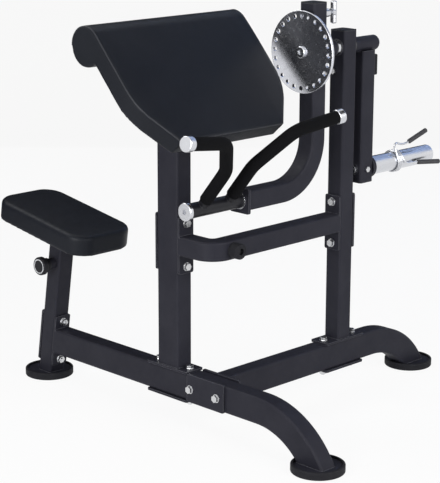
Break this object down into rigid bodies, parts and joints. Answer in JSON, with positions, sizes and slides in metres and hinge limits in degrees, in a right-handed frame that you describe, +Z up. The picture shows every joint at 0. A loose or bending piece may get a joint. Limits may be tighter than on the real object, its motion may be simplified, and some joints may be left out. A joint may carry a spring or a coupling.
{
  "type": "preacher curl bench",
  "caption": "Plate-loaded preacher curl bench: seat on a leaning post, sloped arm pad, curl lever with index disc, turning handle and weight sleeve on bolted square-tube frame.",
  "frame": {"origin": "centre of the whole object's box, on the floor", "axes": "+Z up, -Y the front that the sitter faces, +X the side of the weight arm"},
  "size_m": [1.1162, 1.1846, 1.062],
  "materials": {
    "frame_paint": "satin black powder coat",
    "bright_chrome": "polished chrome",
    "bolt_steel": "zinc plated",
    "black_rubber": "matte",
    "black_vinyl": "matte grained vinyl",
    "plywood": "raw",
    "black_plastic": "moulded",
    "bush_plastic": "nylon"
  },
  "bodies": {
    "frame": {"main_beam": "frame_paint", "cross_base_beam": "frame_paint", "crossing_clamp_plate": "frame_paint", "crossing_bolts": "bolt_steel", "front_foot": "black_rubber", "side_foot": "black_rubber", "seat_foot": "black_rubber", "pad_upright": "frame_paint", "pivot_upright": "frame_paint", "pivot_upright_cap": "black_plastic", "pivot_bearings": "bush_plastic", "upright_clamp_plates": "frame_paint", "upright_bolts": "bolt_steel", "upright_screw": "bolt_steel", "upper_cross_beam": "frame_paint", "upper_beam_bolts": "bolt_steel", "backing_plates": "frame_paint", "handle_bumper": "black_rubber", "bumper_screw": "bolt_steel", "arm_pad": "black_vinyl", "arm_pad_board": "plywood", "arm_pad_screws": "bolt_steel", "seat_post": "frame_paint", "seat_post_bolts": "bolt_steel", "seat_post_bush": "black_plastic", "seat_pin_housing": "frame_paint", "seat_pin_spring": "bolt_steel"},
    "seat_lock": {"seat_pin": "bolt_steel", "seat_knob": "black_plastic"},
    "seat": {"seat_slide": "frame_paint", "seat_board": "plywood", "seat_screws": "bolt_steel", "seat_pad": "black_vinyl"},
    "weight_side": {"pivot_shaft": "bolt_steel", "shaft_end_screws": "bright_chrome", "shaft_spacer": "bright_chrome", "index_disc": "bright_chrome", "weight_arm": "frame_paint", "weight_arm_cap": "black_plastic", "arm_buffer": "black_rubber", "horn_core": "bright_chrome", "horn_flange": "frame_paint", "horn_bolt": "bolt_steel", "weight_horn": "bright_chrome"},
    "collar": {"collar_spring": "bright_chrome", "collar_grips": "black_rubber"},
    "lever": {"curl_lever": "frame_paint", "lever_bushes": "bush_plastic", "lever_top_cap": "black_plastic", "pull_pin_housing": "bright_chrome", "pull_pin_spring": "bolt_steel", "handle_shaft": "bolt_steel", "handle_washer": "bright_chrome", "handle_end_cap": "bright_chrome"},
    "lever_lock": {"pull_pin": "bright_chrome", "pull_pin_handle": "bright_chrome"},
    "handle_unit": {"handle": "frame_paint", "handle_bushes": "bush_plastic", "hand_grips": "black_rubber", "grip_caps": "bright_chrome"}
  },
  "joints": [
    {"name": "arm_swing", "type": "hinge", "parent": "frame", "child": "weight_side", "pos_m": [0.18318, -0.16434, 0.938], "axis": [-1, 0, 0], "range_deg": [0, 125]},
    {"name": "lever_index", "type": "hinge", "parent": "weight_side", "child": "lever", "pos_m": [0.18318, -0.16434, 0.938], "axis": [-1, 0, 0], "range_deg": [0, 90]},
    {"name": "pull_pin_slide", "type": "slide", "parent": "lever", "child": "lever_lock", "axis": [-1, 0, 0], "range_m": [0, 0.01], "deforming": ["pull_pin_spring"]},
    {"name": "handle_turn", "type": "hinge", "parent": "lever", "child": "handle_unit", "pos_m": [-0.28922, -0.16434, 0.589], "axis": [1, 0, 0], "range_deg": [-12, 102.5]},
    {"name": "seat_height", "type": "slide", "parent": "frame", "child": "seat", "axis": [0, -0.1564, 0.9877], "range_m": [0, 0.12]},
    {"name": "seat_pin_slide", "type": "slide", "parent": "frame", "child": "seat_lock", "axis": [1, 0, 0], "range_m": [0, 0.008], "deforming": ["seat_pin_spring"]},
    {"name": "collar_slide", "type": "slide", "parent": "weight_side", "child": "collar", "axis": [1, 0, 0], "range_m": [-0.085, 0.125]}
  ]
}
